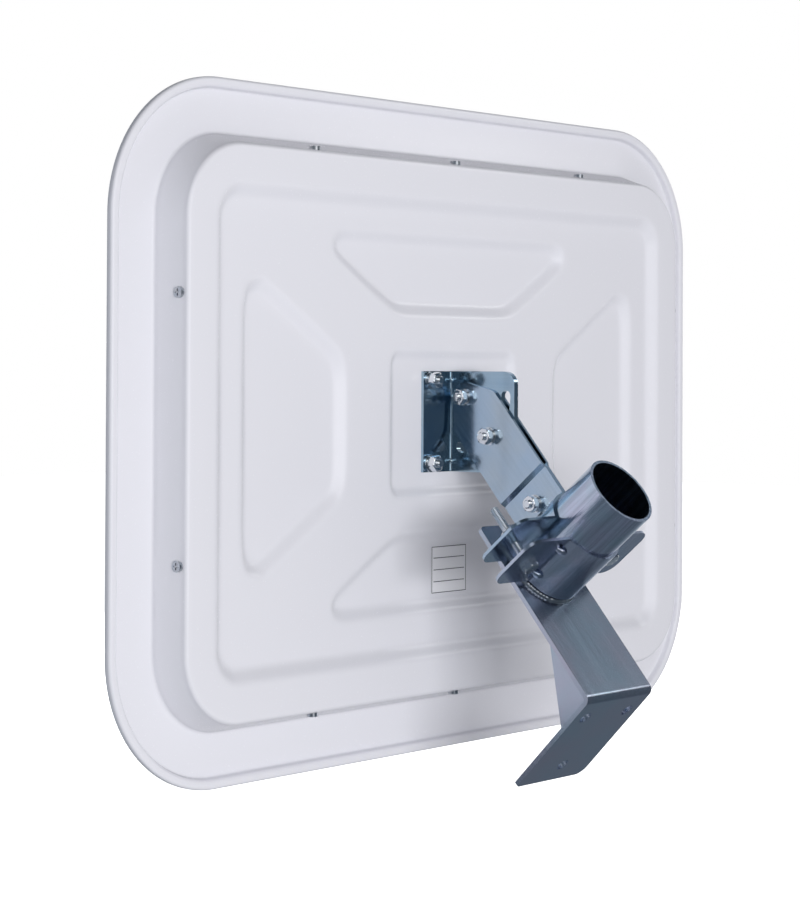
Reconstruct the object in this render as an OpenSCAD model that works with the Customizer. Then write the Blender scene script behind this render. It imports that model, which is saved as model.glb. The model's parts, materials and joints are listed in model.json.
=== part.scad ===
// Flat panel antenna on a tilt and swivel wall bracket.
// Millimetres, +Z up, back of the panel towards -Y, origin on the wall face of the foot.

/* [Panel] */
// Width of the panel over its rim
panel_w = 600; // [570:5:680]
// Height of the panel over its rim
panel_h = 440; // [420:5:500]
// Radius of the outer corners
corner_r = 89; // [84:1:96]
// Depth of the shell's rim
rim_depth = 6; // [5:0.5:8]
// Rise of the raised back above the rim
back_rise = 21.4; // [20.4:0.2:23]
// Width of the flat top of the rim
rim_w = 7.5; // [6:0.5:9]
// Depth of the trench inside the rim, below the rim's top
trench_drop = 3.6; // [2.6:0.2:4]
// Radius where the trench meets the upright wall
trench_r = 5; // [3:0.5:8]
// Width from the outer edge to the upright wall
wall_inset = 41.6; // [40:0.2:44]
// Radius of the raised back's edge
edge_r = 3; // [2:0.5:4]
// Wall thickness of the shell
shell_t = 2.6; // [2:0.1:3]
// Width of the flat ring round the recess
ring_w = 22; // [18:1:26]
// Depth of the recess inside the ring
recess_drop = 6; // [4:0.5:7]
// Depth of the trapezoid recesses below the recess floor
trap_drop = 4.5; // [3:0.5:5]
// Height of the sunk shapes and the bracket above the panel's middle
face_rise = 3; // [0:1:6]

/* [Middle pocket] */
// Half width of the middle pocket
pocket_x = 67; // [60:1:72]
// Half height of the middle pocket
pocket_y = 49; // [46:1:54]
// Depth of the middle pocket below the recess floor
pocket_drop = 3.8; // [3:0.2:5]

/* [Panel inside] */
// Thickness of the front radome
radome_t = 2.5; // [2:0.5:4]
// Thickness of the seal between radome and shell
seal_t = 0.5; // [0.4:0.1:1]
// Thickness of the ground plate
ground_t = 1.5; // [1:0.5:2]
// Thickness of the patch board
board_t = 1.2; // [0.8:0.2:1.6]
// Thickness of the inner frame's sheet
frame_t = 2; // [1.5:0.5:2.5]
// Height of the side screws above the rim
screw_rise = 15; // [13:0.5:16]
// Length of the converter box
converter_l = 56; // [40:2:60]

/* [Tilt bracket] */
// Thickness of the bracket sheet
web_t = 2; // [1.5:0.5:3]
// Height of the bracket
bracket_h = 68; // [64:1:76]
// Width of each flange
flange_w = 31; // [27:1:36]
// Distance of the pivot from the flange's seat
pivot_rise = 15.4; // [14.4:0.2:18]
// Radius of the arc slot
slot_r = 34; // [32:1:37]
// Width of the arc slot
slot_w = 7.5; // [7:0.5:9]
// Metal left outside the arc slot
slot_margin = 3.4; // [3:0.2:8]

/* [Arm] */
// Angle of the arm below level
arm_angle = 49.5; // [40:0.5:56]
// Thickness of the arm sheet
arm_t = 2; // [1.5:0.5:3]
// Half width of the arm
arm_half = 22; // [20:1:24]
// Radius of the arm's nose
nose_r = 10; // [9:0.5:11]
// Distance from the pivot to the joint bolt
joint_at = 91.5; // [89:0.5:94]
// Distance from the pivot to the mast tube's axis
mast_at = 127; // [126:0.5:136]
// Gap between clamp and mast tube
clamp_gap = 0.1; // [0.05:0.05:0.3]
// Half width over the clamp ears
ear_x = 64; // [60:1:70]
// Offset of the ears from the mast's middle
ear_off = 7.5; // [6:0.5:9]

/* [Wall bracket] */
// Outer radius of the mast tube
mast_r = 25; // [24:0.5:26]
// Wall of the mast tube
mast_wall = 2; // [1.5:0.5:3]
// Height of the mast tube above the leg
mast_h = 84; // [76:1:120]
// Thickness of the strip
strip_t = 3; // [3:0.5:4]
// Width of the strip
strip_w = 70; // [64:1:80]
// Length of the leg
leg_l = 138.4; // [130:0.2:160]
// Length of the foot
foot_l = 84.6; // [80:0.2:100]
// Lean of the foot past square
foot_lean = 5.8; // [0:0.2:8]
// Radius of the foot's screw holes
foot_hole_r = 4.5; // [3.5:0.25:5.5]

/* [Fasteners] */
// Radius of the bolts
bolt_r = 3; // [2.5:0.25:3]
// Width over the flats of the hexagons
hex_af = 10; // [9:0.5:10]

/* [Hidden] */
$fn = 64;
edge_n = back_rise - edge_r;
slope_w = 12;
bead_r = 2.5;
front_r = rim_depth - bead_r - 0.1;
radome_in = front_r + 2.6;
seal_w = 9;
section_in = wall_inset + edge_r + 6;
core_in = section_in - 1;
recess_in = wall_inset + edge_r + ring_w;
recess_run = 8.5;
floor_n = back_rise - recess_drop;
trap_n = floor_n - trap_drop;
pocket_n = floor_n - pocket_drop;
trap_r = 9;
trap_run = 6;
side_trap_in = 93;
side_trap_l = 95;
side_trap_under = 128;
side_far = panel_w / 2 - side_trap_in;
side_near = side_far - side_trap_l;
side_far_h = panel_h / 2 - side_trap_under;
side_near_h = 43;
end_trap_in = 94;
end_trap_l = 50;
end_trap_under = 176;
end_far = panel_h / 2 - end_trap_in;
end_near = end_far - end_trap_l;
end_far_w = panel_w / 2 - end_trap_under;
end_near_w = pocket_x + 3;
frame_in = wall_inset + shell_t + 0.1;
frame_wide = 14;
spot_u = wall_inset - 0.1;
screw_side_in = 138;
screw_end_in = 159;
screw_side_y = panel_h / 2 - screw_side_in;
screw_end_x = panel_w / 2 - screw_end_in;
screw_head_r = 3.5;
screw_head_h = 2.6;
screw_r = 2;
screw_l = 9;
radome_n = -rim_depth - seal_t;
ground_n = 1;
inside_in = wall_inset + shell_t + 0.4;
converter_in = 130;
converter_over = 3.6;
converter_x = panel_w / 2 - converter_in;
converter_w = 44;
converter_y = -(panel_h / 2 - recess_in + converter_over);
converter_n = floor_n - shell_t - 0.2;
converter_pin_r = 1.5;
converter_pin_l = 4.6;
outlet_rise = 9.5;
outlet_r = 4.7;
outlet_hex_r = 6.6;
outlet_l = 15.5;
outlet_u = spot_u;
outlet_end = outlet_u - outlet_l;
backing_t = 2;
backing_n = pocket_n - shell_t - backing_t;
hex_r = hex_af / 2 / cos(30);
head_h = 4;
nut_h = 5;
flat_t = 1.2;
spring_t = 1.6;
bolt_over = 2.2;
hole_r = bolt_r + 0.3;
pivot_bore_r = bolt_r + 0.05;
stack_t = flat_t + spring_t + nut_h + bolt_over;
flange_n = pocket_n + web_t;
bracket_x = flange_w - 7;
bracket_mid = face_rise + 1;
web_depth = pivot_rise + slot_r + slot_w / 2 + slot_margin;
slot_from = -2;
slot_to = 98;
bracket_r = 9;
bracket_y = bracket_h / 2 - 6;
pivot_n = pocket_n + pivot_rise;
pivot_y = face_rise + 17.5;
lock_at = slot_r;
taper_r = arm_half - 10;
taper_at = 17;
joggle_at = 74.5;
joggle_run = 3;
bend_in = 2;
bend_mid = bend_in + arm_t / 2;
band_in = mast_r + clamp_gap;
band_mid = band_in + arm_t / 2;
bend_drop = sqrt(pow(band_mid + bend_mid, 2) - pow(arm_t / 2 + bend_mid, 2));
bend_y = -mast_at + bend_drop;
wrap_angle = atan2(arm_t / 2 + bend_mid, bend_drop);
ear_angle = asin(ear_off / band_in);
ear_in = sqrt(band_in * band_in - ear_off * ear_off) + 0.4;
ear_r = 10;
clamp_bolt_x = 44;
clamp_bolt_z = -3;
clamp_bolt_l = 45;
leg_z = -arm_half - 3.5;
leg_top = -mast_at + 38;
bend_out = strip_t + 2;
bend_turn = 90 - foot_lean;
bend_back = bend_out * tan(bend_turn / 2);
corner_y = leg_top - leg_l;
foot_mid = 43;
hole_pair_x = 22.7;
hole_pair_down = 18.3;
hole_low_down = 69;
weld_h = 3;
gusset_t = 3;
gusset_leg = 93;
gusset_foot = 59;
gusset_clip = 7;
label_w = 37;
label_h = 32;
label_t = 0.2;
label_y = face_rise - (end_far + end_near) / 2 + 1.5;

// Point on the outer line of the foot, in the arm's own frame: y, z
function foot_point(down, inward) = [
    corner_y - down * sin(foot_lean) + inward * cos(foot_lean),
    leg_z - down * cos(foot_lean) - inward * sin(foot_lean)];
// The arm's own y, z turned into the panel's Y, Z
function arm_to_panel(p) = [
    -pivot_n + p[0] * cos(arm_angle) - p[1] * sin(arm_angle),
    pivot_y + p[0] * sin(arm_angle) + p[1] * cos(arm_angle)];
wall_point = arm_to_panel(foot_point(foot_mid, 0));

// Panel frame: x across, y up, z out of the back
module at_panel() {
    translate([0, -wall_point[0], -wall_point[1]])
        rotate([90, 0, 0])
            children();
}

// Arm frame: pivot at zero, the arm runs along -y, the mast along z
module at_arm() {
    translate([0, -pivot_n - wall_point[0], pivot_y - wall_point[1]])
        rotate([arm_angle, 0, 0])
            children();
}

// Foot frame: wall face at y = 0, bend at z = 0
module at_foot() {
    at_arm()
        translate([0, corner_y, leg_z])
            rotate([-foot_lean, 0, 0])
                children();
}

// Sheet in the y, z plane, from x0 on
module sheet_x(x0, t) {
    translate([x0, 0, 0])
        rotate([90, 0, 90])
            linear_extrude(t)
                children();
}

module round_rect(w, h, r) {
    square([w - 2 * r, h], center = true);
    square([w, h - 2 * r], center = true);
    for (sx = [-1, 1], sy = [-1, 1])
        translate([sx * (w / 2 - r), sy * (h / 2 - r)])
            circle(r);
}

// Flat plate that follows the panel's outline at an inset
module inset_plate(inset, n0, n1) {
    translate([0, 0, n0])
        linear_extrude(n1 - n0)
            round_rect(panel_w - 2 * inset, panel_h - 2 * inset, corner_r - inset);
}

// Section carried round the panel's outline at an inset, x = 0 outside
module ring_sweep(inset) {
    w = panel_w - 2 * inset;
    h = panel_h - 2 * inset;
    r = corner_r - inset;
    for (sx = [0, 1])
        mirror([sx, 0, 0])
            translate([w / 2, h / 2 - r, 0])
                rotate([90, 0, 0])
                    linear_extrude(h - 2 * r)
                        children();
    for (sy = [0, 1])
        mirror([0, sy, 0])
            translate([r - w / 2, h / 2, 0])
                rotate([0, 0, 90])
                    rotate([90, 0, 0])
                        linear_extrude(w - 2 * r)
                            children();
    for (sx = [0, 1], sy = [0, 1])
        mirror([sx, 0, 0])
            mirror([0, sy, 0])
                translate([w / 2 - r, h / 2 - r, 0])
                    rotate_extrude(angle = 90)
                        translate([r, 0])
                            children();
}

// What is cut away to round a corner at zero of a plate in the first quadrant
module corner_cut(r) {
    translate([-1, -1])
        difference() {
            square(r + 1);
            translate([r + 1, r + 1])
                circle(r);
        }
}

module sunk(points, r, run, n_top, drop) {
    over = 0.5;
    hull()
        for (p = points)
            translate([p[0], p[1], n_top - drop])
                cylinder(h = drop + over, r1 = r - run, r2 = r + run * over / drop, $fn = 32);
}

// Corner centres of a trapezoid: far side, near side and their half lengths
function trap_points(far, near, far_h, near_h, r) =
    let (lean = atan2(far_h - near_h, far - near))
    let (sharp = 1 / tan((90 - lean) / 2))
    let (blunt = 1 / tan((90 + lean) / 2))
    [[far - r, far_h - r * sharp], [near + r, near_h - r * blunt],
     [near + r, r * blunt - near_h], [far - r, r * sharp - far_h]];

module at_side_traps() {
    for (sx = [0, 1])
        translate([0, face_rise, 0])
            mirror([sx, 0, 0])
                children();
}

module at_end_traps() {
    for (turn = [90, -90])
        translate([0, face_rise, 0])
            rotate([0, 0, turn])
                children();
}

module at_side_screws() {
    for (sy = [-1, 1]) {
        translate([panel_w / 2 - spot_u, face_rise + sy * screw_side_y, screw_rise])
            rotate([0, 90, 0])
                children();
        translate([spot_u - panel_w / 2, face_rise + sy * screw_side_y, screw_rise])
            rotate([0, -90, 0])
                children();
    }
    for (sx = [-1, 0, 1]) {
        translate([sx * screw_end_x, panel_h / 2 - spot_u, screw_rise])
            rotate([-90, 0, 0])
                children();
        translate([sx * screw_end_x, spot_u - panel_h / 2, screw_rise])
            rotate([90, 0, 0])
                children();
    }
}

module at_bracket_bolts() {
    for (sx = [-1, 1], sy = [-1, 1])
        translate([sx * bracket_x, bracket_mid + sy * bracket_y, 0])
            children();
}

// Outlet on the bottom wall, z points down and out
module at_outlet() {
    translate([converter_x, outlet_u - panel_h / 2, outlet_rise])
        rotate([90, 0, 0])
            children();
}

// Arm bolts: s along the arm, z points to -x from the left outer face
module at_arm_bolts() {
    for (b = [[0, web_t + arm_t], [lock_at, web_t + arm_t], [joint_at, arm_t]])
        translate([-b[1], -b[0], 0])
            rotate([0, -90, 0])
                children();
}

// Clamp bolts: z points from the rear ear towards the pivot
module at_clamp_bolts() {
    for (sx = [-1, 1])
        translate([sx * clamp_bolt_x, ear_off + arm_t - mast_at, clamp_bolt_z])
            rotate([-90, 0, 0])
                children();
}

module hexagon(h) {
    cylinder(h = h, r = hex_r, $fn = 6);
}

module nut_shape() {
    difference() {
        translate([0, 0, flat_t + spring_t])
            hexagon(nut_h);
        cylinder(h = 30, r = bolt_r + 0.1);
    }
}

module spring_shape() {
    translate([0, 0, flat_t])
        difference() {
            cylinder(h = spring_t, r = bolt_r + 1.9);
            translate([0, 0, -1])
                cylinder(h = spring_t + 2, r = bolt_r + 0.2);
        }
}

module flat_shape() {
    difference() {
        cylinder(h = flat_t, r = bolt_r + 3);
        translate([0, 0, -1])
            cylinder(h = flat_t + 2, r = bolt_r + 0.2);
    }
}

module shell_section() {
    difference() {
        translate([-section_in, -rim_depth])
            square([section_in, rim_depth + back_rise]);
        polygon([[1, 0], [-rim_w, 0], [-rim_w - slope_w, -trench_drop],
            [trench_r - wall_inset, -trench_drop], [trench_r - wall_inset, back_rise + 1],
            [1, back_rise + 1]]);
        translate([-wall_inset, trench_r - trench_drop])
            square([trench_r + 1, back_rise + trench_drop]);
        translate([trench_r - wall_inset, trench_r - trench_drop])
            circle(trench_r);
        translate([-wall_inset, back_rise])
            rotate(180)
                corner_cut(edge_r);
        rotate(180)
            corner_cut(bead_r);
        translate([0, -rim_depth])
            rotate(90)
                corner_cut(front_r);
        translate([-section_in - 1, -rim_depth - 1])
            square([section_in + 1 - wall_inset - shell_t, rim_depth + 1 + back_rise - shell_t]);
    }
}

module trap_block(far, near, far_h, near_h) {
    translate([0, 0, trap_n - shell_t - 1])
        linear_extrude(floor_n - trap_n + 2)
            polygon([[far, far_h], [near, near_h], [near, -near_h], [far, -far_h]]);
}

module shell_hollow() {
    difference() {
        inset_plate(core_in - 1, 0, back_rise - shell_t);
        inset_plate(recess_in - 3, -1, back_rise);
    }
    difference() {
        inset_plate(core_in - 1, 0, floor_n - shell_t);
        at_side_traps()
            trap_block(side_far, side_near, side_far_h, side_near_h);
        at_end_traps()
            trap_block(end_far, end_near, end_far_w, end_near_w);
        translate([-pocket_x, face_rise - pocket_y, pocket_n - shell_t])
            cube([2 * pocket_x, 2 * pocket_y, pocket_drop + 1]);
    }
}

module rear_shell() {
    color("#E6E9EC")
    at_panel()
    difference() {
        union() {
            ring_sweep(0)
                shell_section();
            inset_plate(core_in, trap_n - shell_t, back_rise);
        }
        sunk([for (sx = [-1, 1], sy = [-1, 1])
            [sx * (panel_w / 2 - corner_r), sy * (panel_h / 2 - corner_r)]],
            corner_r - recess_in, recess_run, back_rise, recess_drop);
        at_side_traps()
            sunk(trap_points(side_far, side_near, side_far_h, side_near_h, trap_r),
                trap_r, trap_run, floor_n, trap_drop);
        at_end_traps()
            sunk(trap_points(end_far, end_near, end_far_w, end_near_w, trap_r),
                trap_r, trap_run, floor_n, trap_drop);
        sunk([for (sx = [-1, 1], sy = [-1, 1])
            [sx * (pocket_x - trap_r), face_rise + sy * (pocket_y - trap_r)]],
            trap_r, trap_run, floor_n, pocket_drop);
        shell_hollow();
        at_side_screws() {
            cylinder(h = 3 * screw_head_h, r = screw_head_r + 0.5);
        }
        at_side_screws() {
            translate([0, 0, -screw_l])
                cylinder(h = 2 * screw_l, r = screw_r + 0.3);
        }
        at_bracket_bolts()
            cylinder(h = 20, r = hole_r);
        at_outlet()
            cylinder(h = 12, r = outlet_hex_r + 0.8);
        at_outlet()
            translate([0, 0, -10])
                cylinder(h = 20, r = outlet_r + 0.3);
    }
}

module front_radome() {
    color("#DDE1E5")
    at_panel()
        inset_plate(radome_in, radome_n - radome_t, radome_n);
}

module rim_seal() {
    color("#3A3C3F")
    at_panel()
        ring_sweep(radome_in + 1)
            translate([-seal_w, radome_n])
                square([seal_w, seal_t]);
}

module inner_frame() {
    color("#B4B8BC")
    at_panel()
    difference() {
        ring_sweep(frame_in) {
            translate([-frame_t, ground_n])
                square([frame_t, edge_n - 0.5 - ground_n]);
            translate([-frame_wide, ground_n])
                square([frame_wide, frame_t]);
        }
        at_side_screws()
            translate([0, 0, -1.5 * screw_l])
                cylinder(h = 2 * screw_l, r = screw_r + 0.2);
        at_outlet()
            translate([0, 0, -12])
                cylinder(h = 20, r = outlet_r + 0.5);
    }
}

module side_screws() {
    color("#C4C8CC")
    at_panel()
        at_side_screws() {
            translate([0, 0, -screw_l])
                cylinder(h = screw_l + 0.2, r = screw_r);
            difference() {
                cylinder(h = screw_head_h, r = screw_head_r);
                for (turn = [0, 90])
                    rotate(turn)
                        translate([-0.6 * screw_head_r, -screw_r / 4, screw_head_h / 2])
                            cube([1.2 * screw_head_r, screw_r / 2, screw_head_h]);
            }
        }
}

module ground_plate() {
    color("#B9BDC1")
    at_panel()
        inset_plate(inside_in, ground_n - ground_t, ground_n);
}

module foam_spacer() {
    color("#EDEDE8")
    at_panel()
        inset_plate(inside_in + 2, radome_n + board_t, ground_n - ground_t);
}

module patch_board() {
    color("#8A6A3A")
    at_panel()
        inset_plate(inside_in + 2, radome_n, radome_n + board_t);
}

module backing_plate() {
    color("#9AA0A6")
    at_panel()
    difference() {
        translate([0, face_rise, backing_n])
            linear_extrude(backing_t)
                round_rect(2 * pocket_x - 24, 2 * pocket_y - 14, 6);
        at_bracket_bolts()
            translate([0, 0, -5])
                cylinder(h = 30, r = hole_r);
    }
}

// Middle of the arc slot at an angle below level, from the pivot
function slot_way(below) = slot_r * [-sin(below), cos(below)];

module bracket_web() {
    difference() {
        translate([bracket_mid - bracket_h / 2, pocket_n])
            square([bracket_h, web_depth]);
        translate([bracket_mid - bracket_h / 2, pocket_n + web_depth])
            rotate(-90)
                corner_cut(bracket_r);
        translate([bracket_mid + bracket_h / 2, pocket_n + web_depth])
            rotate(180)
                corner_cut(bracket_r);
        translate([pivot_y, pivot_n])
            circle(pivot_bore_r);
        translate([pivot_y, pivot_n]) {
            intersection() {
                difference() {
                    circle(slot_r + slot_w / 2);
                    circle(slot_r - slot_w / 2);
                }
                polygon([[0, 0], 2 * slot_way(slot_from), 3 * slot_way((slot_from + slot_to) / 2),
                    2 * slot_way(slot_to)]);
            }
            translate(slot_way(slot_from))
                circle(slot_w / 2);
            translate(slot_way(slot_to))
                circle(slot_w / 2);
        }
    }
}

module bracket_half() {
    sheet_x(-web_t, web_t)
        bracket_web();
    difference() {
        translate([-flange_w, bracket_mid - bracket_h / 2, pocket_n])
            cube([flange_w - web_t / 2, bracket_h, web_t]);
        at_bracket_bolts()
            cylinder(h = 30, r = hole_r);
    }
}

module tilt_bracket_left() {
    color("#8E9BA8")
    at_panel()
        bracket_half();
}

module tilt_bracket_right() {
    color("#8E9BA8")
    at_panel()
        mirror([1, 0, 0])
            bracket_half();
}

module bracket_bolts() {
    color("#C9CDD2")
    at_panel()
        at_bracket_bolts() {
            translate([0, 0, backing_n - head_h])
                hexagon(head_h);
            translate([0, 0, backing_n - 0.2])
                cylinder(h = flange_n + stack_t - backing_n + 0.2, r = bolt_r);
        }
}

module bracket_nuts() {
    color("#D3D7DB")
    at_panel()
        at_bracket_bolts()
            translate([0, 0, flange_n])
                nut_shape();
}

module bracket_spring_washers() {
    color("#B8BEC4")
    at_panel()
        at_bracket_bolts()
            translate([0, 0, flange_n])
                spring_shape();
}

module bracket_flat_washers() {
    color("#C2C7CC")
    at_panel()
        at_bracket_bolts()
            translate([0, 0, flange_n])
                flat_shape();
}

module converter_box() {
    color("#A8ACB0")
    at_panel()
    difference() {
        translate([converter_x - converter_l / 2, converter_y, ground_n])
            cube([converter_l, converter_w, converter_n - ground_n]);
        for (sx = [-1, 1], sy = [0.12, 0.88])
            translate([converter_x + sx * 0.41 * converter_l, converter_y + sy * converter_w,
                converter_n - converter_pin_l])
                cylinder(h = 2 * converter_pin_l, r = converter_pin_r);
    }
}

module outlet_socket() {
    color("#CFC9B8")
    at_panel()
    at_outlet()
    difference() {
        inner = panel_h / 2 - outlet_u + converter_y;
        translate([0, 0, -inner])
            cylinder(h = inner + outlet_u - outlet_end, r = outlet_r);
        translate([0, 0, outlet_u - outlet_end - 8])
            cylinder(h = 9, r = 1.2);
    }
}

module outlet_nut() {
    color("#C6CACE")
    at_panel()
    at_outlet()
    difference() {
        cylinder(h = 3, r = outlet_hex_r, $fn = 6);
        translate([0, 0, -1])
            cylinder(h = 5, r = outlet_r + 0.1);
    }
}

module blank_label() {
    color("#F2F2EE")
    at_panel()
        translate([-label_w / 2, label_y - label_h / 2, trap_n])
            cube([label_w, label_h, label_t]);
}

// Points on an arc in steps, from one angle to another
function arc(mid, r, from, to, steps) =
    [for (i = [0 : steps])
        let (turn = from + (to - from) * i / steps)
        mid + r * [cos(turn), sin(turn)]];

// Side view of an arm plate as far as the joggle: nose, taper and straight part
module arm_outline() {
    half = arm_half + 0.3;
    rise = half - taper_r;
    span = sqrt(taper_at * taper_at + rise * rise);
    lean = atan2(rise, taper_at) + acos((nose_r - taper_r) / span);
    mirror([1, 0])
        polygon(concat(
            arc([0, 0], nose_r, lean, 360 - lean, 20),
            arc([taper_at, -rise], taper_r, 360 - lean, 270, 6),
            [[joggle_at + 2, -half], [joggle_at + 2, half]],
            arc([taper_at, rise], taper_r, 90, lean, 6)));
}

// What is cut from an ear: two rounded corners and the bolt hole
module ear_cuts() {
    translate([-ear_x, -arm_half])
        corner_cut(ear_r);
    translate([-ear_x, arm_half])
        rotate(-90)
            corner_cut(ear_r);
    translate([-clamp_bolt_x, clamp_bolt_z])
        circle(hole_r);
}

// Ear of the clamp seen along the arm, from the band out to -x
module ear_outline() {
    difference() {
        translate([-ear_x, -arm_half])
            square([ear_x - ear_in, 2 * arm_half]);
        ear_cuts();
    }
}

// The bent sheet seen along the mast: straight, joggle, bend, band and ear
function arm_path() = let (
        full_t = web_t + arm_t,
        step_end = -joggle_at - joggle_run,
        bend = [-arm_t - bend_in, bend_y],
        mast = [0, -mast_at],
        rim = band_in + arm_t,
        rim_angle = asin((ear_off + arm_t) / rim))
    concat(
        [[-full_t, nose_r + 1], [-full_t, -joggle_at], [-arm_t, step_end]],
        arc(bend, bend_in, 0, wrap_angle - 90, 8),
        arc(mast, rim, 90 + wrap_angle + 1, 180 - rim_angle, 24),
        [[-ear_x, ear_off + arm_t - mast_at], [-ear_x, ear_off - mast_at]],
        arc(mast, band_in, 180 - ear_angle, 90 + wrap_angle + 1, 24),
        arc(bend, bend_in + arm_t, wrap_angle - 90, 0, 8),
        [[0, step_end], [-web_t, -joggle_at], [-web_t, nose_r + 1]]);

module arm_plate() {
    difference() {
        translate([0, 0, -arm_half])
            linear_extrude(2 * arm_half)
                polygon(arm_path());
        sheet_x(-20, 40)
            difference() {
                translate([-joggle_at, -arm_half - 2])
                    square([joggle_at + nose_r + 5, 2 * arm_half + 4]);
                arm_outline();
            }
        at_arm_bolts()
            translate([0, 0, -20])
                cylinder(h = 40, r = hole_r);
        translate([0, ear_off + arm_t + 2 - mast_at, 0])
            rotate([90, 0, 0])
                linear_extrude(arm_t + 4)
                    ear_cuts();
    }
}

module arm_plate_left() {
    color("#8FA3B8")
    at_arm()
        arm_plate();
}

module arm_plate_right() {
    color("#8FA3B8")
    at_arm()
        mirror([1, 0, 0])
            arm_plate();
}

module clamp_front() {
    color("#8FA3B8")
    at_arm()
    translate([0, -mast_at, 0]) {
        translate([0, 0, -arm_half])
            rotate([0, 0, 180 + ear_angle])
                rotate_extrude(angle = 180 - 2 * ear_angle)
                    translate([band_in, 0])
                        square([arm_t, 2 * arm_half]);
        for (sx = [0, 1])
            mirror([sx, 0, 0])
                translate([0, -ear_off, 0])
                    rotate([90, 0, 0])
                        linear_extrude(arm_t)
                            ear_outline();
    }
}

module clamp_bolts() {
    color("#C9CDD2")
    at_arm()
        at_clamp_bolts() {
            under = 2 * (ear_off + arm_t);
            translate([0, 0, -under - head_h])
                hexagon(head_h);
            translate([0, 0, -under - 0.2])
                cylinder(h = clamp_bolt_l + 0.2, r = bolt_r);
        }
}

module clamp_nuts() {
    color("#D3D7DB")
    at_arm()
        at_clamp_bolts()
            nut_shape();
}

module clamp_spring_washers() {
    color("#B8BEC4")
    at_arm()
        at_clamp_bolts()
            spring_shape();
}

module clamp_flat_washers() {
    color("#C2C7CC")
    at_arm()
        at_clamp_bolts()
            flat_shape();
}

module arm_bolts() {
    color("#C9CDD2")
    at_arm()
        for (b = [[0, web_t + arm_t], [lock_at, web_t + arm_t], [joint_at, arm_t]])
            translate([-b[1], -b[0], 0])
                rotate([0, -90, 0]) {
                    translate([0, 0, -2 * b[1] - head_h])
                        hexagon(head_h);
                    translate([0, 0, -2 * b[1] - 0.2])
                        cylinder(h = 2 * b[1] + stack_t + 0.2, r = bolt_r);
                }
}

module arm_nuts() {
    color("#D3D7DB")
    at_arm()
        at_arm_bolts()
            nut_shape();
}

module arm_spring_washers() {
    color("#B8BEC4")
    at_arm()
        at_arm_bolts()
            spring_shape();
}

module arm_flat_washers() {
    color("#C2C7CC")
    at_arm()
        at_arm_bolts()
            flat_shape();
}

// Side view of the bent strip in the arm's own y, z
function strip_path() = let (mid = [corner_y + bend_back, leg_z - bend_out])
    concat(
        [[leg_top, leg_z]],
        arc(mid, bend_out, 90, 90 + bend_turn, 14),
        [foot_point(foot_l, 0), foot_point(foot_l, strip_t)],
        arc(mid, bend_out - strip_t, 90 + bend_turn, 90, 14),
        [[leg_top, leg_z - strip_t]]);

module wall_strip() {
    color("#8C979F")
    difference() {
        at_arm()
            sheet_x(-strip_w / 2, strip_w)
                polygon(strip_path());
        at_arm()
            translate([0, 0, leg_z - 2 * strip_t])
                linear_extrude(3 * strip_t) {
                    translate([-strip_w / 2, leg_top])
                        rotate(-90)
                            corner_cut(4);
                    translate([strip_w / 2, leg_top])
                        rotate(180)
                            corner_cut(4);
                }
        at_foot()
            translate([0, 2 * strip_t, 0])
                rotate([90, 0, 0])
                    linear_extrude(3 * strip_t) {
                        translate([-strip_w / 2, -foot_l])
                            corner_cut(2.5);
                        translate([strip_w / 2, -foot_l])
                            rotate(90)
                                corner_cut(7);
                        for (sx = [-1, 1])
                            translate([sx * hole_pair_x, -hole_pair_down])
                                circle(foot_hole_r);
                        translate([0, -hole_low_down])
                            circle(foot_hole_r);
                    }
    }
}

module gusset_plate() {
    inner = strip_t * tan(bend_turn / 2);
    tip = foot_point(inner + gusset_foot, strip_t);
    clip = foot_point(inner + gusset_clip, strip_t);
    corner = foot_point(inner, strip_t);
    color("#8C979F")
    at_arm()
        sheet_x(-gusset_t / 2, gusset_t)
            polygon([[corner[0] + gusset_leg, leg_z - strip_t], [corner[0] + gusset_clip, leg_z - strip_t],
                clip, tip]);
}

module mast_tube() {
    color("#98A2AA")
    at_arm()
    translate([0, -mast_at, leg_z])
    difference() {
        cylinder(h = mast_h, r = mast_r);
        translate([0, 0, -1])
            cylinder(h = mast_h + 2, r = mast_r - mast_wall);
    }
}

module weld_bead() {
    color("#767C82")
    at_arm()
    translate([0, -mast_at, leg_z])
        rotate_extrude()
            polygon([[mast_r, 0], [mast_r + weld_h, 0], [mast_r, weld_h]]);
}

wall_strip();
gusset_plate();
mast_tube();
weld_bead();
arm_plate_left();
arm_plate_right();
clamp_front();
clamp_bolts();
clamp_nuts();
clamp_spring_washers();
clamp_flat_washers();
arm_bolts();
arm_nuts();
arm_spring_washers();
arm_flat_washers();
rear_shell();
front_radome();
rim_seal();
inner_frame();
side_screws();
ground_plate();
foam_spacer();
patch_board();
backing_plate();
tilt_bracket_left();
tilt_bracket_right();
bracket_bolts();
bracket_nuts();
bracket_spring_washers();
bracket_flat_washers();
converter_box();
outlet_socket();
outlet_nut();
blank_label();
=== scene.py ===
# %% [markdown]
# # Flat panel antenna on a tilt and swivel wall bracket
# The model comes in as a frame of exact CAD pieces. This script dresses that frame: smooth
# moulded plastic, zinc plated sheet, real threads and a weld, then a plain studio round it.
# The frame is loaded first.

import json
import math

import bmesh
import bpy
import numpy as np
from mathutils import Matrix, Vector


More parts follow.
